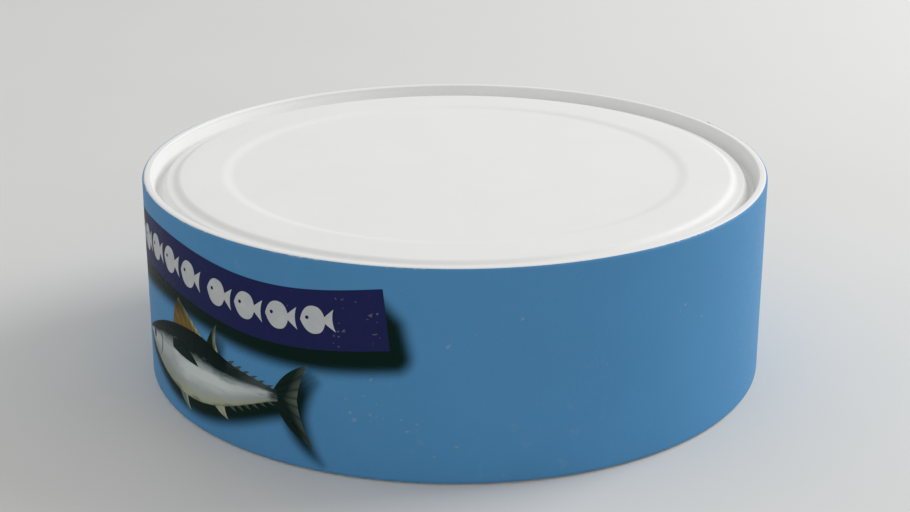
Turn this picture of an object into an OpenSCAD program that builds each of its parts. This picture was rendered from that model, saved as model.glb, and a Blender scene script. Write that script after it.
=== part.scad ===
// A shut, round tuna can: a drawn can with what it holds, a seamed lid and a glued wrap.
// The seam is in line with the wall, so the wrap covers both and the side is straight.
// The origin is the middle of the plane that the can stands on, and +Z points up.
// The print on the wrap faces -Y, so the glued overlap of the wrap is at the back, at +Y.

/* [Can] */
// Outside diameter, over the wrap
can_d = 87; // [60:0.5:160]
// Overall height, from the foot to the top of the seam
can_h = 28.6; // [16:0.1:120]

/* [Body] */
// Radius of the corner between the wall and the foot
corner_r = 0.8; // [0.4:0.1:1.4]
// Width of the flat ring that the can stands on
foot_w = 2; // [1.2:0.1:4]
// Height that the base is pressed up inside the foot
base_rise = 1.3; // [1:0.1:3]
// Width of the slope between the foot and the base
base_slope_w = 1.2; // [0.6:0.1:3]
// Flat width between that slope and the pressed ring of the base
base_ring_gap = 1.5; // [0.5:0.1:5]

/* [Lid] */
// Height of the seam that joins the lid to the body
seam_h = 2.5; // [2:0.1:2.8]
// Thickness of the seam, across all of its folds
seam_t = 1.2; // [1.1:0.05:1.5]
// Radius of the two rounded edges on top of the seam
seam_top_r = 0.5; // [0.3:0.05:0.5]
// Thickness of the sheet that the lid is pressed from
sheet_t = 0.25; // [0.2:0.01:0.35]
// Depth of the groove inside the seam, below the top of the seam
sink_depth = 2.6; // [2.6:0.1:4.5]
// Width of the flat bottom of that groove
sink_w = 0.6; // [0.4:0.1:1.5]
// How far the inner wall of the seam leans in, from its top to the groove
wall_lean = 0.5; // [0.2:0.05:1]
// Width of the slope from the groove up to the panel
sink_slope_w = 0.8; // [0.3:0.1:1.5]
// Depth of the panel outside the ring, below the top of the seam
panel_depth = 1.2; // [1:0.1:2.2]
// Flat width between the groove and the pressed ring of the lid
lid_ring_gap = 1.1; // [0.6:0.1:5]
// Width of the outer side of the lid's ring, steeper than its inner side
lid_ring_edge_w = 0.7; // [0.5:0.1:3]
// Height that the panel inside the ring stands above the panel outside it
centre_rise = 0.25; // [0:0.05:0.4]

/* [Pressed rings] */
// Width of the flat top of the broad ring pressed into the lid and the base
ring_w = 6; // [2:0.1:10]
// Height that each ring stands out of the panel outside it
ring_h = 0.5; // [0.2:0.05:0.8]
// Width of a ring's sloping sides, apart from the outer side of the lid's
ring_slope_w = 1.3; // [0.8:0.1:3]

/* [Wrap] */
// Thickness of the printed wrap
wrap_t = 0.1; // [0.08:0.01:0.25]
// Room for glue between the can and the wrap
glue_gap = 0.02; // [0.01:0.01:0.05]
// How far the wrap reaches past the straight side, onto the rounded edges at the top and the foot
wrap_lap = 0.25; // [0:0.05:0.3]
// Width of the glued overlap at the back
overlap_w = 8; // [4:0.5:15]

/* [Hidden] */
$fn = 96;
// How far a cutter runs past the surface that it cuts
cut_over = 0.2;

wrap_in_r = can_d / 2 - wrap_t;
wall_r = wrap_in_r - glue_gap;
seam_z = can_h - seam_h;
seam_arc_z = can_h - seam_top_r;
seam_in_r = wall_r - seam_t;
panel_z = can_h - panel_depth;
sink_z = can_h - sink_depth;
sink_out_r = seam_in_r - wall_lean;
sink_in_r = sink_out_r - sink_w;
panel_r = sink_in_r - sink_slope_w;
lid_ring_r = panel_r - lid_ring_gap;
foot_in_r = wall_r - corner_r - foot_w;
base_r = foot_in_r - base_slope_w;
base_ring_r = base_r - base_ring_gap;
wrap_z = corner_r - wrap_lap;
wrap_h = seam_arc_z + wrap_lap - wrap_z;

// Outline of a pressed ring, from its inner to its outer edge: its own outer radius, the height of
// the panel outside it, the height that it rises from there, below 0 for one that points down, the
// width of its outer side, and the height that the panel inside it stands above the one outside
function pressed_ring(out_r, z, rise, edge_w, inner_rise) = [
    [out_r - edge_w - ring_w - ring_slope_w, z + inner_rise],
    [out_r - edge_w - ring_w, z + rise],
    [out_r - edge_w, z + rise],
    [out_r, z]
];

// Radius of the leaning inner wall of the seam at a height
function seam_wall_r(z) = sink_out_r + wall_lean * (z - sink_z) / (seam_arc_z - sink_z);

// Outline of the pressed sheet from the middle to the groove, t below its upper face
function sheet_line(t) = concat(
    [[0, panel_z + centre_rise - t]],
    pressed_ring(lid_ring_r, panel_z - t, ring_h, lid_ring_edge_w, centre_rise),
    [[panel_r - t, panel_z - t], [sink_in_r - t, sink_z - t], [sink_out_r + t, sink_z - t]]
);

// Lower face of the sheet, out to where the seam sits on the wall
under_line = concat(sheet_line(sheet_t), [[seam_wall_r(seam_z) + sheet_t, seam_z]]);

function reversed(points) = [for (i = [len(points) - 1:-1:0]) points[i]];

// What rounding takes off a corner whose arc of radius r is centred on the origin
module corner_waste(r) {
    difference() {
        square(r + cut_over);
        circle(r = r);
    }
}

module body_profile() {
    difference() {
        polygon(concat(
            [[0, base_rise]],
            pressed_ring(base_ring_r, base_rise, -ring_h, ring_slope_w, 0),
            [[base_r, base_rise], [foot_in_r, 0], [wall_r, 0], [wall_r, seam_z]],
            reversed(under_line)
        ));
        translate([wall_r - corner_r, corner_r]) mirror([0, 1]) corner_waste(corner_r);
    }
}

module lid_profile() {
    difference() {
        polygon(concat(
            sheet_line(0),
            [[seam_in_r, seam_arc_z], [seam_in_r, can_h], [wall_r, can_h], [wall_r, seam_z]],
            reversed(under_line)
        ));
        translate([seam_in_r + seam_top_r, seam_arc_z]) mirror([1, 0]) corner_waste(seam_top_r);
        translate([wall_r - seam_top_r, seam_arc_z]) corner_waste(seam_top_r);
    }
}

module body() {
    color("gainsboro") rotate_extrude() body_profile();
}

module lid() {
    color("whitesmoke") rotate_extrude() lid_profile();
}

// The overlap starts halfway into the layer below it, so that the wrap stays one solid
module label() {
    overlap_angle = overlap_w / wrap_in_r * 180 / PI;
    color("steelblue") {
        rotate_extrude() translate([wrap_in_r, wrap_z]) square([wrap_t, wrap_h]);
        rotate([0, 0, 90 - overlap_angle / 2]) rotate_extrude(angle = overlap_angle)
            translate([wrap_in_r + wrap_t / 2, wrap_z]) square([1.5 * wrap_t, wrap_h]);
    }
}

body();
lid();
label();
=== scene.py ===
"""A shut, round tuna can: white enamelled steel, a full-height printed wrap and its printed picture.

The can stands on z = 0 with its axis on z. The print faces -Y and the glued overlap of the wrap is at +Y.
A place on the wrap is given as (along, up): along is the arc from the -Y side, towards +X, and up is z.
"""

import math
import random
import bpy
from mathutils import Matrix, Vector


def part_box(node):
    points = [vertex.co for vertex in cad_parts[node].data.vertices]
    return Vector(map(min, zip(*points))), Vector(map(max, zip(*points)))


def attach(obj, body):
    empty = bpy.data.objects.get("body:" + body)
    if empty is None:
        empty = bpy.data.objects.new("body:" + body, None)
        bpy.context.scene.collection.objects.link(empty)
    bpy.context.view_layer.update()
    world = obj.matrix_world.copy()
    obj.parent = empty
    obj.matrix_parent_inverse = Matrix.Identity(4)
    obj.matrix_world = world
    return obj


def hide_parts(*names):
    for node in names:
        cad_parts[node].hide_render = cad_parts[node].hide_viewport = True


bl_info = {
    "name": "Tuna can",
    "version": (1, 0, 0),
    "blender": (4, 5, 0),
    "location": "3D View > Sidebar > Tuna can",
    "description": "Builds a shut tuna can with its printed wrap, and a plain studio around it",
    "category": "Object",
}

import bmesh
import bpy
import numpy as np
from mathutils import Vector, noise
from mathutils.geometry import delaunay_2d_cdt

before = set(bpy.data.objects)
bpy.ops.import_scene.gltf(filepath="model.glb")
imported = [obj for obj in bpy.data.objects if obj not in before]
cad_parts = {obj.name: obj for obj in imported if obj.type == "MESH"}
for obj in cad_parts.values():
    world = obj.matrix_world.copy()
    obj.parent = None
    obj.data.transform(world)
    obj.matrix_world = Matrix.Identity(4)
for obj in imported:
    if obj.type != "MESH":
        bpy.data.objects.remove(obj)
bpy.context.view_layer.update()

MM = 0.001
BODY = "root"
# Room between the body and the sheet above it
GAP = 0.02 * MM
# Keeps a division by a squared length from failing
TINY = 1e-18

LABEL_LOW, LABEL_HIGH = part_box("label")
BODY_LOW, BODY_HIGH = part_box("body")
LID_LOW, LID_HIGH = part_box("lid")
WRAP_R = -LABEL_LOW.y
WALL_R = BODY_HIGH.x
CAN_H = LID_HIGH.z


# Settings


def length(name, about, millimetres):
    """A length that the user can set, given here in millimetres."""
    return bpy.props.FloatProperty(
        name=name, description=about, default=millimetres * MM, unit="LENGTH", precision=5
    )


def number(name, about, value):
    """A plain number that the user can set."""
    return bpy.props.FloatProperty(name=name, description=about, default=value)


def turn(name, about, degrees):
    """An angle that the user can set, given here in degrees."""
    return bpy.props.FloatProperty(
        name=name, description=about, default=math.radians(degrees), subtype="ANGLE"
    )


def linear(channel):
    """A screen colour's channel, from 0 to 255, as light."""
    share = channel / 255
    return share / 12.92 if share <= 0.04045 else ((share + 0.055) / 1.055) ** 2.4


def colour(name, about, red, green, blue):
    """A colour that the user can set, given here as it looks on a screen, from 0 to 255."""
    return bpy.props.FloatVectorProperty(
        name=name,
        description=about,
        size=4,
        min=0,
        max=1,
        subtype="COLOR",
        default=(linear(red), linear(green), linear(blue), 1),
    )


class CanSteel(bpy.types.PropertyGroup):
    """Sizes of the pressed steel. They repeat those of the construction model."""

    seam_thick: length("Seam thickness", "Across all folds of the seam", 1.2)
    seam_round: length("Seam rounding", "Radius of the edges on top of the seam", 0.5)
    sink_depth: length("Groove depth", "From the top of the seam to the bottom of the groove", 2.6)
    sink_width: length("Groove width", "Flat bottom of the groove", 0.6)
    wall_lean: length("Wall lean", "How far the inner wall leans in towards the groove", 0.5)
    sink_slope: length("Groove slope", "Width of the slope from the groove to the panel", 0.8)
    panel_depth: length("Panel depth", "From the top of the seam to the panel outside the ring", 1.2)
    centre_rise: length("Centre rise", "How far the panel inside the ring stands above the one outside", 0.25)
    ring_gap: length("Ring gap", "From the groove to the pressed ring", 1.1)
    ring_edge: length("Ring edge", "Width of the steeper outer side of the lid's ring", 0.7)
    ring_width: length("Ring width", "Flat top of each pressed ring", 6.0)
    ring_rise: length("Ring rise", "How far each ring stands out of the panel outside it", 0.5)
    ring_slope: length("Ring slope", "Width of the rings' other sides", 1.3)
    sheet: length("Sheet", "Thickness of the pressed sheet", 0.25)
    seam_height: length("Seam height", "From the top of the seam to its lower edge", 2.5)
    corner: length("Foot corner", "Radius between the wall and the foot", 0.8)
    foot_width: length("Foot width", "Flat ring that the can stands on", 2.0)
    base_rise: length("Base rise", "How far the base is pressed up", 1.3)
    base_slope: length("Base slope", "Width of the slope from the foot to the base", 1.2)
    base_gap: length("Base gap", "From that slope to the base's pressed ring", 1.5)
    enamel: colour("Enamel", "White enamel on the steel", 236, 236, 235)
    steel: colour("Bare steel", "Steel where the enamel is rubbed off", 150, 148, 144)


class CanWrap(bpy.types.PropertyGroup):
    """Sizes and colours of the printed wrap."""

    paper: length("Paper", "Thickness of the wrap", 0.05)
    over_seam: turn("Reach over the seam", "How far round the seam's top edge the wrap goes", 50)
    under_foot: turn("Reach under the foot", "How far round the foot's corner the wrap goes", 40)
    overlap: length("Overlap", "Width of the glued overlap", 8.0)
    ink_step: length("Ink step", "Thickness of one layer of ink", 0.014)
    blue: colour("Blue", "Ground colour of the wrap", 80, 141, 188)
    shade: colour("Shadow ink", "Soft dark ink under the band and the fish", 2, 26, 10)
    faded: colour("Faded ink", "Blue where the ink is rubbed thin", 116, 152, 188)
    bare: colour("Bare paper", "Paper where the ink is gone", 206, 206, 200)
    shade_right: length("Shadow shift right", "How far the band's soft shadow is printed to the right", 2.6)
    shade_down: length("Shadow shift down", "How far the band's soft shadow is printed below", 2.75)
    shade_blur: length("Shadow blur", "Half the width of the shadow's soft edge", 1.1)


class CanBand(bpy.types.PropertyGroup):
    """The wavy printed band and the plain marks on it."""

    start: length("Start", "Left end, along the wrap", -36.5)
    end: length("End", "Right end, along the wrap", 35.0)
    trough: length("Trough", "Where the band hangs lowest, along the wrap", 19.5)
    low: length("Height", "Middle of the band where it hangs lowest", 20.45)
    swing: length("Swing", "Half the height of the wave", 0.95)
    wave: length("Wave", "Length of one wave", 50.0)
    half: length("Half width", "Half the width of the band at the middle of the print", 3.65)
    widening: number("Widening", "How much the half width grows along the band", 0.0105)
    mark_length: length("Mark length", "Length of each small fish", 4.7)
    mark_depth: length("Mark depth", "Depth of each small fish", 3.5)
    navy: colour("Navy", "The band", 32, 37, 82)
    pale: colour("Pale ink", "The small fish on the band", 190, 193, 194)


class CanFish(bpy.types.PropertyGroup):
    """The printed fish."""

    nose: length("Nose", "Where the fish starts, along the wrap", -13.7)
    tail_root: length("Tail root", "Where the body ends, along the wrap", 20.0)
    tail_tip: length("Tail tips", "Where the tail ends, along the wrap", 24.6)
    axis_low: length("Nose height", "Height of the fish's middle line at its nose", 8.35)
    axis_rise: length("Middle line rise", "How much that line rises towards the tail", 1.05)
    depth: length("Half depth", "Half of the fish's greatest depth", 4.85)
    snout: length("Snout", "How blunt the nose is", 2.2)
    stalk: length("Tail stalk", "Half of the depth where the tail starts", 0.8)
    dark_from: length("Dark back from", "Height where the dark back starts", 10.0)
    tail_spread: length("Tail spread", "Height from the tail's middle to its upper tip", 5.1)
    tail_low: length("Lower lobe", "How much longer the tail's lower lobe is", 0.9)
    back: colour("Back", "Top of the fish", 3, 28, 25)
    flank: colour("Flank", "Side of the fish below the back", 112, 124, 124)
    belly: colour("Belly", "Pale belly", 206, 213, 211)
    cream: colour("Cream", "Lowest part of the belly", 166, 172, 146)
    gold: colour("Gold", "Front dorsal fin", 118, 96, 46)
    fin: colour("Fin", "Dark fins and tail", 16, 36, 30)
    fin_edge: colour("Fin edge", "Pale edges of the fins", 88, 98, 90)
    finlet: colour("Finlets", "Small fins in front of the tail", 74, 80, 68)


class CanStudio(bpy.types.PropertyGroup):
    """The camera, the lights and the floor."""

    azimuth: turn("Camera azimuth", "From the -Y side towards +X", 57)
    elevation: turn("Camera elevation", "Above the floor", 20.03)
    distance: length("Camera distance", "To the middle of the can", 256.1)
    aim: length("Aim", "Height that the camera looks at", 14.39)
    lens: number("Lens", "Focal length in millimetres, on a sensor 36 mm wide", 70.7)
    floor: colour("Floor", "Plain pale floor", 217, 217, 215)
    sky: number("Ambient light", "Strength of the even light all round", 0.65)
    lamp_azimuth: turn("Lamp azimuth", "From the camera's azimuth, the same way round", 114)
    lamp_elevation: turn("Lamp elevation", "Above the floor", 31)
    lamp_distance: length("Lamp distance", "To the middle of the can's foot", 700)
    lamp_size: length("Lamp size", "Side of the square lamp", 400)
    lamp_power: number("Lamp power", "In watts", 3.08)


# Outlines


def bend(start, pull, end, steps):
    """A curve from start towards end, drawn to one side by pull. The end itself is left out."""
    points = []
    for i in range(steps):
        t = i / steps
        points.append(
            tuple((1 - t) ** 2 * a + 2 * t * (1 - t) * b + t * t * c for a, b, c in zip(start, pull, end))
        )
    return points


def fillet(before, corner, after, radius, steps=8):
    """The arc that rounds a corner, kept to under half of each side."""
    corner = Vector(corner)
    back, on = Vector(before) - corner, Vector(after) - corner
    half = back.angle(on) / 2
    reach = min(radius / math.tan(half), 0.49 * back.length, 0.49 * on.length)
    radius = reach * math.tan(half)
    centre = corner + (back.normalized() + on.normalized()).normalized() * radius / math.sin(half)
    first = corner + back.normalized() * reach - centre
    last = corner + on.normalized() * reach - centre
    return [tuple(centre + first.slerp(last, i / steps) * radius) for i in range(steps + 1)]


def rounded(corners):
    """An open outline through corners (r, z, radius), with each corner rounded to its radius."""
    points = []
    for i, (r, z, radius) in enumerate(corners):
        if radius and 0 < i < len(corners) - 1:
            points += fillet(corners[i - 1][:2], (r, z), corners[i + 1][:2], radius)
        else:
            points.append((r, z))
    return points


def stepped(points, longest):
    """The same outline with extra points, so that no step is longer than longest."""
    out = [points[0]]
    for a, b in zip(points, points[1:]):
        parts = max(1, math.ceil(math.dist(a, b) / longest))
        out += [tuple(p + (q - p) * i / parts for p, q in zip(a, b)) for i in range(1, parts + 1)]
    return out


def inside_distance(along, up, outline):
    """How far each place lies inside a closed outline, below 0 outside."""
    a = np.array(outline)
    b = np.roll(a, -1, axis=0)
    side = b - a
    from_a = np.stack([along, up], -1)[:, None, :] - a
    t = np.clip((from_a * side).sum(-1) / np.maximum((side * side).sum(-1), TINY), 0, 1)
    away = np.sqrt(((from_a - t[..., None] * side) ** 2).sum(-1)).min(1)
    crosses = (a[:, 1] > up[:, None]) != (b[:, 1] > up[:, None])
    rise = np.where(side[:, 1] == 0, 1, side[:, 1])
    left = along[:, None] < a[:, 0] + from_a[..., 1] * side[:, 0] / rise
    return np.where((crosses & left).sum(1) % 2 == 1, away, -away)


def smooth(t):
    """0 up to t = 0 and 1 from t = 1, with a soft step between them."""
    t = np.clip(t, 0, 1)
    return t * t * (3 - 2 * t)


# Meshes


def add_mesh(name, points, faces, finish, tones=None):
    """A smooth-shaded mesh object, with its sharp edges left crisp.
    tones is {attribute: one number for each point}, for the material to read."""
    sharp = math.radians(35)
    mesh = bpy.data.meshes.new(name)
    mesh.from_pydata([tuple(p) for p in points], [], faces)
    bm = bmesh.new()
    bm.from_mesh(mesh)
    bmesh.ops.recalc_face_normals(bm, faces=bm.faces)
    bm.to_mesh(mesh)
    bm.free()
    mesh.shade_smooth()
    mesh.set_sharp_from_angle(angle=sharp)
    for tone, values in (tones or {}).items():
        mesh.attributes.new(tone, "FLOAT", "POINT").data.foreach_set("value", values)
    mesh.materials.append(finish)
    piece = bpy.data.objects.new(name, mesh)
    bpy.context.scene.collection.objects.link(piece)
    return piece


def add_turned(name, outline, finish, uneven=0.0):
    """A solid of revolution. The outline runs from the axis, out and back to the axis.
    uneven is how far the flat parts inside the rim may dip, as thin pressed sheet does."""
    segments, axis = 360, 1e-7
    points, rings = [], []
    turns = [2 * math.pi * i / segments for i in range(segments)]
    for r, z in outline:
        if r < axis:
            rings.append([len(points)])
            points.append((0, 0, z))
            continue
        rings.append(range(len(points), len(points) + segments))
        points += [(r * math.cos(a), r * math.sin(a), z) for a in turns]
    if uneven:
        reach, border, patch = 0.9 * WALL_R, 0.3 * WALL_R, 14 * MM
        for i, (x, y, z) in enumerate(points):
            fade = float(smooth((reach - math.hypot(x, y)) / border))
            dip = noise.noise(Vector((x, y, 0)) / patch) - 0.5
            points[i] = (x, y, z + uneven * fade * dip)
    faces = []
    for inner, outer in zip(rings, rings[1:]):
        for i in range(segments):
            j = (i + 1) % segments
            if len(inner) == 1:
                faces.append((inner[0], outer[i], outer[j]))
            elif len(outer) == 1:
                faces.append((inner[i], outer[0], inner[j]))
            else:
                faces.append((inner[i], outer[i], outer[j], inner[j]))
    return add_mesh(name, points, faces, finish)


def paper_radius(along, up):
    """Radius of the printed face of the wrap, which is never quite true. It lies depth inside the
    can's outer size, and the paper swells a little in patches."""
    depth, swell, wide, tall = 0.06 * MM, 0.012 * MM, 11 * MM, 9 * MM
    place = Vector((along / wide, up / tall, 0.3))
    return WRAP_R - depth + swell * (noise.noise(place) - 0.5)


def on_wrap(along, up, radius):
    """The point in space of a place on the wrap, at a distance from the can's axis."""
    angle = along / WRAP_R - math.pi / 2
    return (radius * math.cos(angle), radius * math.sin(angle), up)


def wrap_profile(reach=1.0):
    """(radius, height, lean) of the wall under the wrap, from the foot to the rim. It is followed a
    little way round the rounded edges at both ends, and lean is how far it faces up there. reach is
    how much of that way is followed."""
    steel, wrap = bpy.context.scene.can_steel, bpy.context.scene.can_wrap
    low, high = steel.corner, CAN_H - steel.seam_round
    bends, rows = 7, 60

    def rounded_edge(level, radius, lean):
        return (WALL_R - radius * (1 - math.cos(lean)), level + radius * math.sin(lean), lean)

    under, over = -reach * wrap.under_foot, reach * wrap.over_seam
    foot = [rounded_edge(low, steel.corner, under * (1 - i / bends)) for i in range(bends)]
    wall = [(WALL_R, low + (high - low) * i / rows, 0.0) for i in range(rows + 1)]
    seam = [rounded_edge(high, steel.seam_round, over * (i + 1) / bends) for i in range(bends)]
    return foot + wall + seam


def add_ink(name, outlines, layer, finish, tones=None, spacing=0.8 * MM):
    """Flat printed shapes on the wrap, as one closed mesh a few hundredths of a millimetre thick.
    tones is {attribute: function of (along, up)}."""
    step = bpy.context.scene.can_wrap.ink_step
    clear, join = 0.35 * spacing, 1e-5
    points, faces, places = [], [], []
    for outline in outlines:
        low, high = np.min(outline, axis=0), np.max(outline, axis=0)
        grid = np.stack(
            np.meshgrid(np.arange(low[0], high[0], spacing), np.arange(low[1], high[1], spacing)), -1
        ).reshape(-1, 2)
        if len(grid):
            grid = grid[inside_distance(grid[:, 0], grid[:, 1], outline) > clear]
        flat = [Vector(p) / MM for p in outline] + [Vector(p) / MM for p in grid]
        edge = [list(range(len(outline)))]
        flat, _, cells, *_ = delaunay_2d_cdt(flat, [], edge, 1, join)
        first = len(points)
        count = len(flat)
        for lift in (layer * step, -0.5 * step):
            for x, y in flat:
                along, up = x * MM, y * MM
                points.append(on_wrap(along, up, paper_radius(along, up) + lift))
                places.append((along, up))
        rims = set()
        for cell in cells:
            faces.append([first + i for i in cell])
            faces.append([first + count + i for i in reversed(cell)])
            for a, b in zip(cell, cell[1:] + cell[:1]):
                rims.symmetric_difference_update([(min(a, b), max(a, b))])
        for a, b in sorted(rims):
            faces.append((first + a, first + b, first + count + b, first + count + a))
    values = {tone: [f(*place) for place in places] for tone, f in (tones or {}).items()}
    piece = add_mesh(name, points, faces, finish, tones=values)
    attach(piece, BODY)
    return piece


# Materials


def scaled(tint, share):
    """A colour made darker by a share under 1, or lighter by one over 1."""
    return tuple(min(1, share * c) for c in tuple(tint)[:3]) + (1,)


def blended(first, second, share):
    """A colour that is share of the way from the first to the second."""
    return tuple((1 - share) * a + share * b for a, b in zip(first, second))


class Finish:
    """A material under construction: its node tree, its shader and short ways to add nodes."""

    def __init__(self, name, **settings):
        self.material = bpy.data.materials.new(name)
        self.material.use_nodes = True
        self.tree = self.material.node_tree
        self.shader = self.tree.nodes["Principled BSDF"]
        for socket, value in settings.items():
            self.shader.inputs[socket.replace("_", " ")].default_value = value

    def node(self, kind, *inputs, **settings):
        """A node of that kind. inputs fill its sockets in order: a socket is linked, a value is set."""
        made = self.tree.nodes.new("ShaderNode" + kind)
        for key, value in settings.items():
            setattr(made, key, value)
        for socket, value in zip(made.inputs, inputs):
            self.fill(socket, value)
        return made

    def fill(self, socket, value):
        """Link a socket to one that gives a value, or set its own value."""
        if isinstance(value, bpy.types.NodeSocket):
            self.tree.links.new(value, socket)
        elif value is not None:
            socket.default_value = value

    def place(self):
        """Where a point is, in the can's own coordinates."""
        return self.node("TexCoord").outputs["Object"]

    def tone(self, name):
        """A tone that the mesh carries."""
        return self.node("Attribute", attribute_name=name).outputs["Fac"]

    def maths(self, operation, *inputs):
        return self.node("Math", *inputs, operation=operation).outputs[0]

    def times(self, first, second):
        return self.maths("MULTIPLY", first, second)

    def grain(self, size, detail=2.0, stretch=(1, 1, 1), roughness=0.5):
        """Noise whose features are about size wide, longer along the axes where stretch is over 1."""
        scaled = self.node("VectorMath", self.place(), tuple(1 / s for s in stretch), operation="MULTIPLY")
        made = self.node("TexNoise")
        self.fill(made.inputs["Vector"], scaled.outputs[0])
        self.fill(made.inputs["Scale"], 1 / size)
        self.fill(made.inputs["Detail"], detail)
        self.fill(made.inputs["Roughness"], roughness)
        return made.outputs["Fac"]

    def spread(self, value, low, high, to_low=0.0, to_high=1.0):
        """Moves a value from the range low to high into another range, and cuts it off there."""
        return self.node("MapRange", value, low, high, to_low, to_high).outputs[0]

    def mix(self, share, first, second):
        """A colour that is share of the way from the first to the second."""
        made = self.node("Mix", data_type="RGBA")
        colours = [socket for socket in made.inputs if socket.type == "RGBA"]
        self.fill(made.inputs["Factor"], share)
        for socket, tint in zip(colours, (first, second)):
            self.fill(socket, tint if isinstance(tint, bpy.types.NodeSocket) else tuple(tint))
        return next(socket for socket in made.outputs if socket.type == "RGBA")

    def ramp(self, value, *stops):
        """A colour that changes with value, through stops of (position, colour)."""
        made = self.node("ValToRGB", value)
        elements = made.color_ramp.elements
        while len(elements) < len(stops):
            elements.new(1)
        for element, (position, tint) in zip(elements, stops):
            element.position, element.color = position, tuple(tint)
        return made.outputs["Color"]

    def varied(self, tint, value, amount):
        """A colour made up to amount darker or lighter by a value around a half."""
        spread = self.spread(value, 0.25, 0.75)
        return self.mix(spread, scaled(tint, 1 - amount), scaled(tint, 1 + amount))

    def colour(self, value):
        self.fill(self.shader.inputs["Base Color"], value)

    def rough(self, value, low, high):
        self.fill(self.shader.inputs["Roughness"], self.spread(value, 0.3, 0.7, low, high))

    def bump(self, value, height):
        made = self.node("Bump")
        self.fill(made.inputs["Strength"], 1.0)
        self.fill(made.inputs["Distance"], height)
        self.fill(made.inputs["Height"], value)
        self.fill(self.shader.inputs["Normal"], made.outputs[0])


def enamel_finish(name, rub_up=None, rub_down=None):
    """White stoved enamel: nearly even, a little mottled, with a fine orange-peel surface.
    It is rubbed through to the steel here and there above rub_up or below rub_down."""
    steel = bpy.context.scene.can_steel
    finish = Finish(name, Specular_IOR_Level=0.22, Coat_Weight=0.04, Coat_Roughness=0.4)
    mottle = finish.grain(9 * MM, 3)
    smudge = finish.grain(3.2 * MM, 4, roughness=0.6)
    paint = finish.varied(steel.enamel, mottle, 0.012)
    height = finish.node("SeparateXYZ", finish.place()).outputs["Z"]
    worn = 0.0
    up_from, up_to, down_from = 0.08 * MM, 0.04 * MM, 0.12 * MM
    if rub_up is not None:
        worn = finish.spread(height, rub_up - up_from, rub_up + up_to)
    if rub_down is not None:
        worn = finish.spread(height, rub_down + down_from, rub_down)
    speckle = finish.spread(finish.grain(0.5 * MM, 4, roughness=0.7), 0.66, 0.7)
    patch = finish.spread(finish.grain(7 * MM, 2), 0.5, 0.62)
    rubbed = finish.times(finish.times(worn, speckle), patch)
    finish.colour(finish.mix(rubbed, paint, steel.steel))
    finish.rough(smudge, 0.4, 0.54)
    peel = finish.grain(0.9 * MM, 2)
    finish.bump(peel, 0.006 * MM)
    return finish.material


def ink_base(name):
    """A thin satin varnish over print on paper."""
    return Finish(name, Specular_IOR_Level=0.05)


def ink_surface(finish):
    """The paper's fibres show in the gloss and the surface of everything that is printed."""
    fibre = finish.grain(0.35 * MM, 3, stretch=(1, 1, 1.6))
    finish.rough(fibre, 0.38, 0.52)
    finish.bump(fibre, 0.004 * MM)


def wrap_finish():
    """The blue ground, with the soft shadow ink, faint uneven inking and worn cut edges."""
    wrap = bpy.context.scene.can_wrap
    finish = ink_base("blue_wrap")
    ground = finish.varied(wrap.blue, finish.grain(13 * MM, 3), 0.035)
    fine = finish.spread(finish.grain(0.45 * MM, 3, roughness=0.7), 0.35, 0.75, 0.0, 0.10)
    ground = finish.mix(fine, ground, wrap.faded)
    cloud = finish.spread(finish.grain(2.4 * MM, 4, roughness=0.65), 0.6, 0.72)
    haze = finish.times(cloud, finish.spread(finish.grain(15 * MM, 1), 0.52, 0.62))
    ground = finish.mix(finish.times(haze, 0.35), ground, wrap.faded)
    ground = finish.mix(finish.times(finish.tone("shadow"), 0.985), ground, wrap.shade)
    crumb = finish.spread(finish.grain(0.7 * MM, 3, roughness=0.7), 0.45, 0.62)
    chip = finish.times(crumb, finish.spread(finish.grain(9 * MM, 2), 0.5, 0.6, 0.15, 0.9))
    finish.colour(finish.mix(finish.times(finish.tone("cut"), chip), ground, wrap.bare))
    ink_surface(finish)
    return finish.material


def ink_finish(name, tint, edge=None, rays=0.0, fade=0.06, shaded=False):
    """Printed ink, a little uneven. With edge, its colour changes to that one where the tone called
    "reach" comes to 1. With rays, the tone called "ray" draws fin rays. With shaded, the tone called
    "shade" lays the soft shadow ink over it."""
    finish = ink_base(name)
    patchy = finish.grain(1.6 * MM, 4, roughness=0.6)
    ink = finish.varied(tint, patchy, fade)
    if edge is not None:
        worn = finish.maths("ADD", finish.tone("reach"), finish.times(patchy, 0.25))
        ink = finish.mix(finish.spread(worn, 0.45, 1.1), ink, edge)
    if rays:
        wave = finish.maths("SINE", finish.times(finish.tone("ray"), rays))
        ink = finish.mix(finish.spread(wave, 0.0, 1.0, 0.0, 0.5), ink, scaled(tint, 0.45))
    wrap = bpy.context.scene.can_wrap
    if shaded:
        ink = finish.mix(finish.times(finish.tone("shade"), 0.75), ink, wrap.shade)
    pinholes = finish.spread(finish.grain(0.28 * MM, 2, roughness=0.6), 0.74, 0.8, 0.0, 0.35)
    finish.colour(finish.mix(pinholes, ink, wrap.bare))
    ink_surface(finish)
    return finish.material


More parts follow.
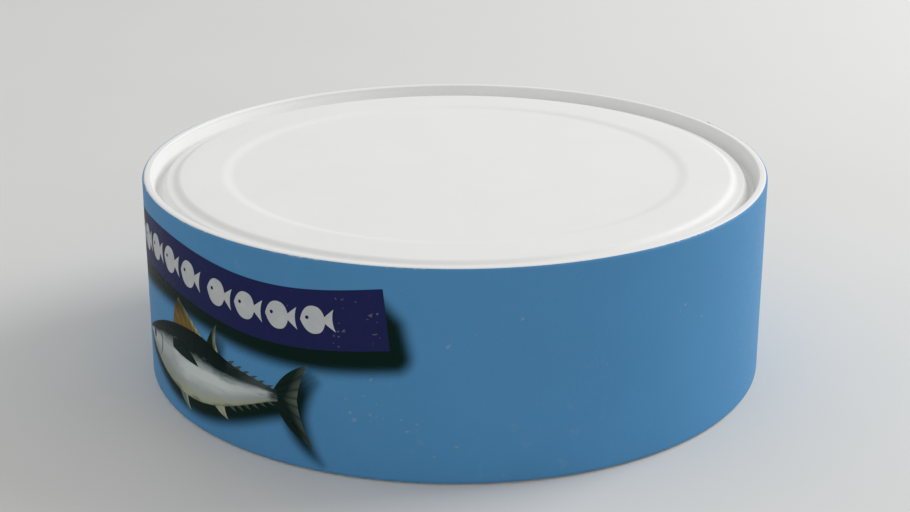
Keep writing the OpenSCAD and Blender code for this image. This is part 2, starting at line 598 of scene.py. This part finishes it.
def skin_finish():
    """The fish's side, from a cream belly to a dark back, with the softly broken border of a real one."""
    fish = bpy.context.scene.can_fish
    finish = ink_base("fish_skin")
    streak = finish.grain(0.9 * MM, 4, stretch=(4, 4, 1), roughness=0.65)
    broken = finish.times(finish.maths("SUBTRACT", streak, 0.5), 0.22)
    height = finish.maths("ADD", finish.tone("height"), broken)
    skin = finish.ramp(
        height,
        (0.0, scaled(fish.cream, 0.5)),
        (0.05, fish.cream),
        (0.2, blended(fish.belly, fish.flank, 0.5)),
        (0.38, fish.belly),
        (0.5, fish.belly),
        (0.62, fish.flank),
        (0.7, fish.back),
        (1.0, scaled(fish.back, 0.6)),
    )
    along = finish.maths("ADD", finish.tone("length"), broken)
    below_back = finish.spread(height, 0.56, 0.66, 1.0, 0.0)
    head = finish.times(finish.spread(along, 0.34, 0.48, 0.38, 0.0), below_back)
    skin = finish.mix(head, skin, fish.flank)
    skin = finish.mix(finish.spread(along, 0.74, 0.96, 0.0, 0.42), skin, fish.flank)
    finish.colour(finish.mix(finish.spread(along, 0.93, 1.0, 0.0, 0.9), skin, fish.fin))
    ink_surface(finish)
    return finish.material


# The steel


def ring_corners(outer, level, rise, edge, inner_rise=0.0):
    """Corners of a pressed ring from its outer radius inwards. The panel outside it is at level, and
    the one inside it is inner_rise above that. edge is the width of the ring's outer side."""
    steel = bpy.context.scene.can_steel
    crisp, gentle = 1.1 * MM, 5 * MM
    flat = outer - edge - steel.ring_width
    soft = gentle if inner_rise else 1.5 * crisp
    return [
        (outer, level, crisp),
        (outer - edge, level + rise, crisp),
        (flat, level + rise, soft),
        (flat - steel.ring_slope, level + inner_rise, soft),
    ]


def sheet_corners(drop):
    """Corners of the lid's sheet from its middle to the groove, drop below its upper face."""
    steel = bpy.context.scene.can_steel
    panel = CAN_H - steel.panel_depth - drop
    sink = CAN_H - steel.sink_depth - drop
    sink_out = WALL_R - steel.seam_thick - steel.wall_lean
    sink_in = sink_out - steel.sink_width
    edge = sink_in - steel.sink_slope
    ring = ring_corners(
        edge - steel.ring_gap, panel, steel.ring_rise, steel.ring_edge, steel.centre_rise
    )
    return (
        [(0, panel + steel.centre_rise, 0)]
        + ring[::-1]
        + [
            (edge - drop, panel, 0.5 * MM),
            (sink_in - drop, sink, 0.3 * MM),
            (sink_out + drop, sink, 0.3 * MM),
        ]
    )


def lid_outline():
    """The lid from its middle out, over the seam and back under its sheet."""
    steel = bpy.context.scene.can_steel
    inner = WALL_R - steel.seam_thick
    seam = CAN_H - steel.seam_height
    lean = steel.wall_lean * (steel.sink_depth - steel.seam_height) / (steel.sink_depth - steel.seam_round)
    shoulder = inner - steel.wall_lean + lean + steel.sheet
    over = (
        sheet_corners(0)
        + [(inner, CAN_H - steel.seam_round, 0.3 * MM)]
        + [(inner, CAN_H, steel.seam_round), (WALL_R, CAN_H, steel.seam_round)]
        + [(WALL_R, seam, 0.1 * MM), (shoulder, seam, 0)]
    )
    return stepped(rounded(over + sheet_corners(steel.sheet)[::-1]), 1.5 * MM)


def body_outline():
    """The body from its middle out, under the lid, down the wall and back over the base."""
    steel = bpy.context.scene.can_steel
    seam = CAN_H - steel.seam_height
    top = CAN_H - steel.panel_depth - steel.sheet - GAP
    level, bevel = 0.7 * WALL_R, 2 * MM
    foot = WALL_R - steel.corner - steel.foot_width
    base = foot - steel.base_slope
    rim = WALL_R - steel.seam_thick
    corners = (
        [(0, top, 0), (level, top, 0), (rim - bevel, top - bevel, 0)]
        + [(rim, seam - GAP, 0), (WALL_R, seam - GAP, 0.1 * MM)]
        + [(WALL_R, 0, steel.corner), (foot, 0, 0.5 * MM), (base, steel.base_rise, 0.6 * MM)]
        + ring_corners(base - steel.base_gap, steel.base_rise, -steel.ring_rise, steel.ring_slope)
        + [(0, steel.base_rise, 0)]
    )
    return stepped(rounded(corners), 1.5 * MM)


# The print


def band_middle(along):
    """Height of the band's middle line."""
    band = bpy.context.scene.can_band
    return band.low + band.swing * (1 - math.cos(2 * math.pi * (along - band.trough) / band.wave))


def band_half(along):
    """Half of the band's width."""
    band = bpy.context.scene.can_band
    return band.half + band.widening * along


def band_outline(inset=0.0):
    """The wavy band, with slanted ends, or an outline that lies inside its own by inset."""
    band = bpy.context.scene.can_band
    slant = 0.4 * MM
    steps = 90

    def edge(side):
        first, last = band.start + inset - side * slant, band.end - inset - side * slant
        places = [first + (last - first) * i / steps for i in range(steps + 1)]
        return [(p, band_middle(p) + side * (band_half(p) - inset)) for p in places]

    return edge(-1) + edge(1)[::-1]


def lens_fish(length_share, depth):
    """A plain small fish that looks left, as an outline around its own middle."""
    nose, root, tip = -length_share / 2, length_share * 0.22, length_share / 2
    half, tail = depth / 2, depth * 0.42
    waist = depth * 0.12
    return (
        bend((nose, 0), (nose + 0.15 * length_share, half * 1.25), (0, half), 8)
        + bend((0, half), (root * 0.7, half * 0.9), (root, waist), 6)
        + bend((root, waist), (root + (tip - root) * 0.45, 2.2 * waist), (tip, tail), 6)
        + bend((tip, tail), (tip - 0.12 * length_share, 0), (tip, -tail), 6)
        + bend((tip, -tail), (root + (tip - root) * 0.45, -2.2 * waist), (root, -waist), 6)
        + bend((root, -waist), (root * 0.7, -half * 0.9), (0, -half), 6)
        + bend((0, -half), (nose + 0.15 * length_share, -half * 1.25), (nose, 0), 8)
    )


def disc(along, up, radius, steps=20):
    turns = [2 * math.pi * i / steps for i in range(steps)]
    return [(along + radius * math.cos(a), up + radius * math.sin(a)) for a in turns]


def turned_to_band(outline, along):
    """Moves an outline onto the band's middle line at along, turned to follow it."""
    ahead = 0.5 * MM
    slope = math.atan2(band_middle(along + ahead) - band_middle(along - ahead), 2 * ahead)
    c, s = math.cos(slope), math.sin(slope)
    return [(along + x * c - y * s, band_middle(along) + x * s + y * c) for x, y in outline]


def mark_places():
    """Two groups of small fish on the band, with a gap between the groups."""
    pitch, gap = 5.15 * MM, 1.0 * MM
    last = 26.1 * MM
    right = [last - i * pitch for i in range(4)]
    left = [right[-1] - gap - (i + 1) * pitch for i in range(7)]
    return sorted(left + right)


def fish_share(along):
    """How much of the way from the nose to the tail a place is."""
    fish = bpy.context.scene.can_fish
    return min(1, max(0, (along - fish.nose) / (fish.tail_root - fish.nose)))


def fish_middle(along):
    """Height of the fish's middle line."""
    fish = bpy.context.scene.can_fish
    return fish.axis_low + fish.axis_rise * fish_share(along)


def fish_half(along):
    """Half of the fish's depth: a spindle with a blunt snout, ending in the thin stalk of the tail."""
    fish = bpy.context.scene.can_fish
    front, rear = 1.3, 1.35
    deepest = front / (front + rear)
    t = fish_share(along)
    spindle = (t / deepest) ** front * ((1 - t) / (1 - deepest)) ** rear
    return fish.depth * spindle + fish.snout * math.sqrt(t) * (1 - t) ** 6 + fish.stalk * t * t


def back_line(along):
    """The fish's upper edge, which is slimmer than the belly in front of the tail."""
    slimmest, width, most = 0.8, 0.22, 0.24
    off = (fish_share(along) - slimmest) / width
    slim = most * max(0.0, 1 - off * off) ** 2
    return fish_middle(along) + (1 - slim) * fish_half(along)


def belly_line(along):
    """The fish's lower edge, which is a little flatter than the back."""
    flatter = 0.92
    return fish_middle(along) - flatter * fish_half(along)


def body_shape():
    """The fish without its fins and tail."""
    fish = bpy.context.scene.can_fish
    steps = 70
    shares = [(1 - math.cos(math.pi * i / steps)) / 2 for i in range(steps + 1)]
    places = [fish.nose + (fish.tail_root - fish.nose) * s for s in shares]
    lower = [(p, belly_line(p)) for p in places]
    upper = [(p, back_line(p)) for p in places]
    return lower + upper[:0:-1]


def tail_shape():
    """The crescent tail, as two broad swept lobes."""
    fish = bpy.context.scene.can_fish
    level = fish_middle(fish.tail_root)
    root, fork = fish.tail_root - 0.6 * MM, fish.tail_root + 2.9 * MM
    lead, trail = (fish.tail_root + 1.1 * MM, 0.76), (fork + 0.3 * MM, 0.52)
    stalk = fish.stalk - 0.05 * MM

    def lobe(side):
        longer = fish.tail_low if side < 0 else 0.0
        tip, spread = fish.tail_tip + 0.4 * longer, fish.tail_spread + longer
        low, far = (root, level + side * stalk), (tip, level + side * spread)
        front = (lead[0], level + side * lead[1] * spread)
        rear = (trail[0], level + side * trail[1] * spread)
        return bend(low, front, far, 12) + bend(far, rear, (fork, level), 12)

    return lobe(-1) + [(fork, level)] + lobe(1)[::-1]


def fin_shape(root_front, root_rear, tip, front_pull, rear_pull):
    """The front edge and the rear edge of a fin, from its two root points, its tip and two pulls."""
    steps = 10
    return bend(root_front, front_pull, tip, steps), bend(tip, rear_pull, root_rear, steps) + [root_rear]


def fish_fins():
    """{name: (front edge, rear edge)} of each fin that stands off the body. The table gives each
    fin's roots, its tip and the pulls of its front and rear edge."""
    sink = 0.5 * MM

    def at(along, low=False):
        return (along * MM, belly_line(along * MM) + sink if low else back_line(along * MM) - sink)

    fins = {
        "first_dorsal": (at(-1.2), at(7.6), (0.9, 17.6), (-0.6, 16.6), (4.0, 15.6)),
        "second_dorsal": (at(7.4), at(10.3), (9.8, 16.5), (8.2, 15.0), (8.9, 13.7)),
        "pelvic": (at(-0.4, low=True), at(2.2, low=True), (2.9, 2.3), (0.6, 2.9), (2.0, 3.3)),
        "anal": (at(8.3, low=True), at(10.8, low=True), (11.3, 3.8), (9.3, 4.3), (10.5, 4.9)),
    }
    made = {}
    for name, (front, rear, *rest) in fins.items():
        tip, front_pull, rear_pull = ((a * MM, b * MM) for a, b in rest)
        made[name] = fin_shape(front, rear, tip, front_pull, rear_pull)
    return made


def pectoral_fin():
    """The front edge and the rear edge of the dark fin that lies on the fish's side."""
    root, tip = (-1.6 * MM, 10.4 * MM), (5.4 * MM, 9.3 * MM)
    over, under = (root[0], root[1] + 0.8 * MM), (root[0], root[1] - 0.6 * MM)
    return fin_shape(over, under, tip, (2.8 * MM, 12 * MM), (1.8 * MM, 9.3 * MM))


def finlets():
    """The row of small fins along the rear of the back and of the belly."""
    shapes = []
    for i in range(6):
        along = (11.9 + 1.3 * i) * MM
        tall = (0.66 - 0.06 * i) * MM
        for side, line in ((1, back_line), (-1, belly_line)):
            front, rear = along - 0.35 * MM, along + 0.5 * MM
            tip = (along + 1.15 * MM, line(along) + side * tall * 0.75)
            sink = -side * 0.25 * MM
            shapes.append(
                bend((front, line(front) + sink), (along, line(along) + side * tall * 0.6), tip, 5)
                + bend(tip, (rear, line(rear) + side * 0.2 * MM), (rear, line(rear) + sink), 4)
                + [(rear, line(rear) + sink)]
            )
    return shapes


def nearest_on(line, along, up):
    """Distance from a place to an open line."""
    place = Vector((along, up))
    best = math.inf
    for a, b in zip(line, line[1:]):
        a, b = Vector(a), Vector(b)
        share = min(1, max(0, (place - a).dot(b - a) / max((b - a).length_squared, TINY)))
        best = min(best, (place - a.lerp(b, share)).length)
    return best


def fin_tones(front, rear):
    """Tones for a fin: how near a place is to its rear edge, which ray it lies on, and the band's
    soft shadow on it."""
    tip = Vector(rear[0])
    middle = (Vector(front[0]) + Vector(rear[-1])) / 2
    axis = tip - middle
    edge = 1.1 * MM

    def reach(along, up):
        return 1 - nearest_on(rear, along, up) / edge

    def ray(along, up):
        return axis.angle_signed(Vector((along, up)) - middle + 0.8 * axis)

    return {"reach": reach, "ray": ray, "shade": shade_at}


def fleck(middle, size, draw):
    """A small ragged smear."""
    count = draw.randint(11, 17)
    lean = draw.uniform(-0.8, 0.8)
    squash = draw.uniform(0.3, 0.8)
    points = []
    for i in range(count):
        angle = 2 * math.pi * i / count
        reach = size * draw.uniform(0.3, 1.0)
        x, y = reach * math.cos(angle), reach * squash * math.sin(angle)
        c, s = math.cos(lean), math.sin(lean)
        points.append((middle[0] + x * c - y * s, middle[1] + x * s + y * c))
    return points


def clear_of(places, spot, room):
    return all(math.dist(spot, other) > room for other in places)


def scattered(draw, count, middle, spread, room):
    """Places scattered around a middle, each clear of the others."""
    places, tries = [], 20
    for _ in range(count * tries):
        spot = (draw.gauss(middle[0], spread[0]), draw.gauss(middle[1], spread[1]))
        if clear_of(places, spot, room):
            places.append(spot)
        if len(places) == count:
            break
    return places


def soft_shadow(along, up, shapes, right=1.0, down=1.0, grow=0.0):
    """Strength of the soft shadow ink that printed shapes have beside them, at places on the wrap. It
    is drawn out from each shape, grown by grow, right and down times as far as the band's shadow. That
    is done with copies of the shape, and nearest is how far the first of them is moved."""
    wrap = bpy.context.scene.can_wrap
    nearest, copies = 0.3, 9
    strength = np.zeros(len(along))
    margin = 2 * wrap.shade_blur + grow
    for share in np.linspace(nearest, 1.0, copies):
        shift = (share * right * wrap.shade_right, -share * down * wrap.shade_down)
        moved = np.stack([along - shift[0], up - shift[1]], -1)
        for shape in shapes:
            low, high = np.min(shape, axis=0), np.max(shape, axis=0)
            inside = ((moved > low - margin) & (moved < high + margin)).all(-1)
            depth = inside_distance(moved[inside, 0], moved[inside, 1], shape)
            soft = smooth(0.5 + (depth + grow) / (2 * wrap.shade_blur))
            strength[inside] = np.maximum(strength[inside], soft)
    return strength


def band_shadow(along, up):
    """Strength of the band's shadow, which has round corners, at places on the wrap."""
    corner = 2 * bpy.context.scene.can_wrap.shade_blur
    return soft_shadow(along, up, [band_outline(corner)], grow=corner)


def shade_at(along, up):
    """Strength of the band's shadow at one place."""
    return float(band_shadow(np.array([along]), np.array([up]))[0])


def whole_shadow(along, up):
    """Strength of the soft shadows of the band and the fish at places on the wrap."""
    fins = fish_fins()
    dorsals = [front + rear for front, rear in (fins["first_dorsal"], fins["second_dorsal"])]
    fish = soft_shadow(along, up, [body_shape(), tail_shape()] + dorsals, right=0.5, down=0.78)
    return np.maximum(band_shadow(along, up), fish)


# Operators


class CanOperator:
    """What all the building steps share."""

    bl_options = {"REGISTER", "UNDO"}

    def execute(self, context):
        self.build(context.scene)
        return {"FINISHED"}


class CAN_OT_body(CanOperator, bpy.types.Operator):
    """Build the drawn can with its foot and pressed base"""

    bl_idname = "can.body"
    bl_label = "Drawn body"

    def build(self, scene):
        finish = enamel_finish("body_enamel", rub_down=0.0)
        piece = add_turned("drawn_body", body_outline(), finish)
        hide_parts("body")
        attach(piece, BODY)


class CAN_OT_lid(CanOperator, bpy.types.Operator):
    """Build the seamed lid with its groove and broad pressed ring"""

    bl_idname = "can.lid"
    bl_label = "Seamed lid"

    def build(self, scene):
        finish = enamel_finish("lid_enamel", rub_up=CAN_H)
        piece = add_turned("seamed_lid", lid_outline(), finish, uneven=0.05 * MM)
        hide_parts("lid")
        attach(piece, BODY)


class CAN_OT_wrap(CanOperator, bpy.types.Operator):
    """Build the printed wrap, with its glued overlap at the back"""

    bl_idname = "can.wrap"
    bl_label = "Printed wrap"

    def build(self, scene):
        wrap = scene.can_wrap
        overlap = wrap.overlap / WRAP_R
        first = math.pi / 2 - overlap / 2
        whole = 2 * math.pi + overlap
        columns = 640
        # The outer layer of the overlap is too stiff to follow the rounded edges all the way
        outer_reach = 0.3
        profile, upper = wrap_profile(), wrap_profile(outer_reach)
        ramp = 1.6 * MM / WRAP_R
        glue, curl_height, curl_length, cut_width = 0.01 * MM, 0.03 * MM, 1.2 * MM, 0.12 * MM
        layer = wrap.paper + glue
        points, cut, flat = [], [], []
        for face in (0, 1):
            for i in range(columns + 1):
                angle = first + whole * i / columns
                along = (angle - 1.5 * math.pi) * WRAP_R
                past = angle - first - 2 * math.pi
                over, cut_short = float(smooth(past / ramp + 1)), float(smooth(past / ramp))
                to_end = (first + whole - angle) * WRAP_R
                curl = curl_height * max(0.0, 1 - to_end / curl_length) ** 2
                for pair in zip(profile, upper):
                    radius, up, lean = ((1 - cut_short) * a + cut_short * b for a, b in zip(*pair))
                    lift = paper_radius(along, up) - WALL_R + over * layer + curl - face * wrap.paper
                    out, rise = lift * math.cos(lean), lift * math.sin(lean)
                    points.append(on_wrap(along, up + rise, radius + out))
                    flat.append((along, up))
                    nearest = min(up - profile[0][1], profile[-1][1] - up, to_end)
                    cut.append(max(0.0, 1 - nearest / cut_width))
        flat = np.array(flat)
        shadow = whole_shadow(flat[:, 0], flat[:, 1])
        faces = self.faces(columns, len(profile) - 1)
        tones = {"shadow": shadow, "cut": cut}
        piece = add_mesh("blue_wrap", points, faces, wrap_finish(), tones=tones)
        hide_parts("label")
        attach(piece, BODY)

    @staticmethod
    def faces(columns, rows):
        """Both faces of the strip, and its four edges."""
        tall = rows + 1
        inner = (columns + 1) * tall
        faces = []
        for i in range(columns):
            for j in range(rows):
                a, b = i * tall + j, (i + 1) * tall + j
                faces.append((a, b, b + 1, a + 1))
                faces.append((inner + a, inner + a + 1, inner + b + 1, inner + b))
            for j in (0, rows):
                a, b = i * tall + j, (i + 1) * tall + j
                faces.append((a, b, inner + b, inner + a))
        for i in (0, columns):
            for j in range(rows):
                a = i * tall + j
                faces.append((a, a + 1, inner + a + 1, inner + a))
        return faces


class CAN_OT_band(CanOperator, bpy.types.Operator):
    """Print the wavy navy band"""

    bl_idname = "can.band"
    bl_label = "Wavy band"

    def build(self, scene):
        add_ink("navy_band", [band_outline()], 1, ink_finish("band_navy", scene.can_band.navy))


class CAN_OT_marks(CanOperator, bpy.types.Operator):
    """Print a row of small plain fish on the band"""

    bl_idname = "can.marks"
    bl_label = "Small fish"

    def build(self, scene):
        band = scene.can_band
        shape = lens_fish(band.mark_length, band.mark_depth)
        eye = disc(-0.29 * band.mark_length, 0.08 * band.mark_depth, 0.24 * MM, 12)
        marks = [turned_to_band(shape, p) for p in mark_places()]
        eyes = [turned_to_band(eye, p) for p in mark_places()]
        add_ink("small_fish", marks, 2, ink_finish("mark_pale", band.pale, fade=0.08))
        add_ink("small_fish_eyes", eyes, 3, ink_finish("mark_eye", band.navy), spacing=0.3 * MM)


class CAN_OT_fish(CanOperator, bpy.types.Operator):
    """Print the body and the tail of the large fish"""

    bl_idname = "can.fish"
    bl_label = "Large fish"

    def build(self, scene):
        fish = scene.can_fish
        dark, thin = 0.66, 0.001 * MM

        def height(along, up):
            """0 on the belly's edge, two thirds where the dark back starts and 1 on the back's edge."""
            low, high = belly_line(along), back_line(along)
            cheek = 1 - smooth((along + 1.5 * MM) / (2.5 * MM))
            side = 1 - smooth((along - 6.5 * MM) / (4 * MM))
            start = fish.dark_from + float(1.1 * cheek + 0.5 * side) * MM
            border = min(max(start, low + 0.3 * (high - low)), low + 0.75 * (high - low))
            if up < border:
                return dark * (up - low) / max(border - low, thin)
            return dark + (1 - dark) * (up - border) / max(high - border, thin)

        middle = fish_middle(fish.tail_root)

        def reach(along, up):
            """0 on the front edge of the tail's lobes and 1 on their rear edge."""
            return (along - fish.tail_root - 0.5 * abs(up - middle)) / (2.7 * MM)

        def ray(along, up):
            return math.atan2(up - middle, along - fish.tail_root + 2 * MM)

        tail = ink_finish("tail_ink", fish.fin, edge=fish.fin_edge, rays=26.0)
        add_ink("fish_tail", [tail_shape()], 1, tail, {"reach": reach, "ray": ray}, 0.5 * MM)
        tones = {"height": height, "length": lambda along, up: fish_share(along)}
        add_ink("fish_body", [body_shape()], 2, skin_finish(), tones, 0.5 * MM)


class CAN_OT_fins(CanOperator, bpy.types.Operator):
    """Print the fins of the large fish"""

    bl_idname = "can.fins"
    bl_label = "Fins"

    def build(self, scene):
        fish = scene.can_fish
        inks = {
            "first_dorsal": ink_finish("gold_fin", fish.gold, edge=fish.cream, rays=34.0, shaded=True),
            "second_dorsal": ink_finish("grey_fin", fish.fin, edge=fish.cream, rays=30.0, shaded=True),
            "pelvic": ink_finish("pale_fin", fish.flank, edge=fish.cream, rays=24.0),
            "anal": ink_finish("cream_fin", fish.cream, edge=fish.cream, rays=24.0),
        }
        for name, (front, rear) in fish_fins().items():
            add_ink(name, [front + rear], 1, inks[name], fin_tones(front, rear), 0.4 * MM)
        add_ink("finlets", finlets(), 1, ink_finish("finlet_ink", fish.finlet), spacing=0.4 * MM)
        front, rear = pectoral_fin()
        pectoral = ink_finish("pectoral_ink", fish.back, edge=fish.fin, rays=40.0)
        add_ink("pectoral", [front + rear], 3, pectoral, fin_tones(front, rear), 0.4 * MM)


class CAN_OT_face(CanOperator, bpy.types.Operator):
    """Print the eye, the gill cover and the mouth of the large fish"""

    bl_idname = "can.face"
    bl_label = "Fish's face"

    def build(self, scene):
        fish = scene.can_fish
        eye = (fish.nose + 3.7 * MM, fish_middle(fish.nose) + 0.45 * MM)
        fine = 0.3 * MM
        add_ink("eye_ring", [disc(*eye, 0.72 * MM)], 3, ink_finish("eye_pale", fish.fin_edge), spacing=fine)
        add_ink("eye_pupil", [disc(*eye, 0.42 * MM)], 4, ink_finish("eye_dark", fish.back), spacing=fine)
        line = ink_finish("face_line", fish.back)
        level = fish_middle(fish.nose)
        gill_top, gill_low = (-7.0 * MM, level + 2.2 * MM), (-7.6 * MM, level - 2.1 * MM)
        gill = bend(gill_top, (-4.6 * MM, level + 0.2 * MM), gill_low, 14) + bend(
            gill_low, (-5.1 * MM, level), gill_top, 14
        )
        lips, corner = (fish.nose + 0.1 * MM, level - 0.1 * MM), (fish.nose + 2.5 * MM, level - 0.75 * MM)
        mouth = bend(lips, (fish.nose + 1.4 * MM, level - 0.3 * MM), corner, 8) + bend(
            corner, (fish.nose + 1.3 * MM, level - 0.6 * MM), lips, 8
        )
        add_ink("face_lines", [gill, mouth], 3, line, spacing=fine)


class CAN_OT_scuffs(CanOperator, bpy.types.Operator):
    """Rub the print: pale flecks at the band's end and faint ones on the blue"""

    bl_idname = "can.scuffs"
    bl_label = "Scuffs"

    def build(self, scene):
        wrap, band = scene.can_wrap, scene.can_band
        draw = random.Random(7)
        end = band.end
        rubbed = blended(band.navy, wrap.bare, 0.14)
        places = []
        # Millimetres back from the band's end and up from its middle line, and how many flecks
        patches = (
            (6.2, 2.6, 2), (4.4, 2.4, 3), (5.6, -1.2, 3), (6.4, -2.6, 4), (1.1, 0.2, 5), (0.9, -1.6, 3),
        )
        for back, rise, count in patches:
            middle = (end - back * MM, band_middle(end - back * MM) + rise * MM)
            places += scattered(draw, count, middle, (0.6 * MM, 0.5 * MM), 0.55 * MM)
        on_band = [
            s for s in places
            if s[0] < end - 0.7 * MM and abs(s[1] - band_middle(s[0])) < band_half(s[0]) - 0.5 * MM
        ]
        pale = [fleck(s, (0.14 + 0.36 * draw.random() ** 2) * MM, draw) for s in on_band]
        add_ink("band_flecks", pale, 2, ink_finish("fleck_pale", rubbed, fade=0.25), spacing=0.3 * MM)
        # A place on the wrap in millimetres, and how many flecks
        clusters = [
            ((31.5, 9.0), 8), ((30.2, 10.4), 4), ((36.4, 9.0), 7), ((33.0, 12.6), 3), ((37.2, 25.2), 5),
            ((44.0, 19.0), 5), ((60.8, 16.0), 6), ((75.5, 18.2), 6), ((42.0, 3.6), 4), ((52.5, 23.4), 3),
            ((-31.0, 9.0), 8), ((-47.0, 15.0), 6), ((-66.0, 7.0), 5), ((92.0, 9.0), 6), ((112.0, 21.0), 6),
            ((-88.0, 20.0), 6), ((-108.0, 11.0), 7), ((124.0, 7.5), 5),
        ]
        faint = []
        for (along, up), count in clusters:
            middle = (along * MM, up * MM)
            spots = scattered(draw, count, middle, (1.1 * MM, 0.7 * MM), 0.8 * MM)
            faint += [fleck(s, (0.12 + 0.5 * draw.random() ** 2.5) * MM, draw) for s in spots]
        add_ink("blue_flecks", faint, 1, ink_finish("fleck_faint", wrap.faded, fade=0.12), spacing=0.4 * MM)


class CAN_OT_stage(CanOperator, bpy.types.Operator):
    """Set up the floor, the lights and the camera"""

    bl_idname = "can.stage"
    bl_label = "Studio"

    def build(self, scene):
        studio = scene.can_studio
        self.add_floor(scene, studio)
        self.add_sky(scene, studio)
        self.add_lamp(scene, studio)
        self.add_camera(scene, studio)
        scene.view_settings.view_transform = "Standard"

    @staticmethod
    def toward(azimuth, elevation):
        """Direction from the can towards an azimuth, from -Y towards +X, and an elevation."""
        level = math.cos(elevation)
        return Vector((math.sin(azimuth) * level, -math.cos(azimuth) * level, math.sin(elevation)))

    @staticmethod
    def add_floor(scene, studio):
        mesh = bpy.data.meshes.new("floor")
        half = 3.0
        corners = [(-half, -half, 0), (half, -half, 0), (half, half, 0), (-half, half, 0)]
        mesh.from_pydata(corners, [], [(0, 1, 2, 3)])
        finish = Finish("pale_floor", Roughness=0.7, Specular_IOR_Level=0.25)
        finish.colour(finish.varied(studio.floor, finish.grain(0.05, 3), 0.012))
        mesh.materials.append(finish.material)
        floor = bpy.data.objects.new("floor", mesh)
        scene.collection.objects.link(floor)

    @staticmethod
    def add_sky(scene, studio):
        scene.world = bpy.data.worlds.new("studio")
        scene.world.use_nodes = True
        sky = scene.world.node_tree.nodes["Background"]
        sky.inputs["Color"].default_value = (1, 1, 1, 1)
        sky.inputs["Strength"].default_value = studio.sky

    def add_lamp(self, scene, studio):
        """A square soft light that faces the can."""
        lamp = bpy.data.lights.new("key", "AREA")
        lamp.shape, lamp.size, lamp.energy = "SQUARE", studio.lamp_size, studio.lamp_power
        holder = bpy.data.objects.new("key", lamp)
        azimuth = studio.azimuth + studio.lamp_azimuth
        holder.location = self.toward(azimuth, studio.lamp_elevation) * studio.lamp_distance
        holder.rotation_euler = holder.location.to_track_quat("Z", "Y").to_euler()
        scene.collection.objects.link(holder)

    def add_camera(self, scene, studio):
        sensor, nearest = 36, 0.01
        lens = bpy.data.cameras.new("camera")
        lens.lens, lens.sensor_width, lens.clip_start = studio.lens, sensor, nearest
        camera = bpy.data.objects.new("camera", lens)
        away = self.toward(studio.azimuth, studio.elevation)
        camera.location = Vector((0, 0, studio.aim)) + away * studio.distance
        camera.rotation_euler = away.to_track_quat("Z", "Y").to_euler()
        scene.collection.objects.link(camera)
        scene.camera = camera


STEPS = (
    CAN_OT_body,
    CAN_OT_lid,
    CAN_OT_wrap,
    CAN_OT_band,
    CAN_OT_marks,
    CAN_OT_fish,
    CAN_OT_fins,
    CAN_OT_face,
    CAN_OT_scuffs,
    CAN_OT_stage,
)
GROUPS = {
    "can_steel": CanSteel,
    "can_wrap": CanWrap,
    "can_band": CanBand,
    "can_fish": CanFish,
    "can_studio": CanStudio,
}


class CAN_PT_panel(bpy.types.Panel):
    """Lists the building steps and their settings"""

    bl_idname = "CAN_PT_panel"
    bl_label = "Tuna can"
    bl_space_type = "VIEW_3D"
    bl_region_type = "UI"
    bl_category = "Tuna can"

    def draw(self, context):
        for step in STEPS:
            self.layout.operator(step.bl_idname)
        for name, group in GROUPS.items():
            box = self.layout.box()
            for setting in group.__annotations__:
                box.prop(getattr(context.scene, name), setting)


def register():
    for group in GROUPS.values():
        bpy.utils.register_class(group)
    for name, group in GROUPS.items():
        setattr(bpy.types.Scene, name, bpy.props.PointerProperty(type=group))
    for step in STEPS:
        bpy.utils.register_class(step)
    bpy.utils.register_class(CAN_PT_panel)


def unregister():
    bpy.utils.unregister_class(CAN_PT_panel)
    for step in reversed(STEPS):
        bpy.utils.unregister_class(step)
    for name in GROUPS:
        delattr(bpy.types.Scene, name)
    for group in GROUPS.values():
        bpy.utils.unregister_class(group)


def main():
    """Build the can and its studio."""
    register()
    bpy.ops.can.body()
    bpy.ops.can.lid()
    bpy.ops.can.wrap()
    bpy.ops.can.band()
    bpy.ops.can.marks()
    bpy.ops.can.fish()
    bpy.ops.can.fins()
    bpy.ops.can.face()
    bpy.ops.can.scuffs()
    bpy.ops.can.stage()


if __name__ == "__main__":
    main()
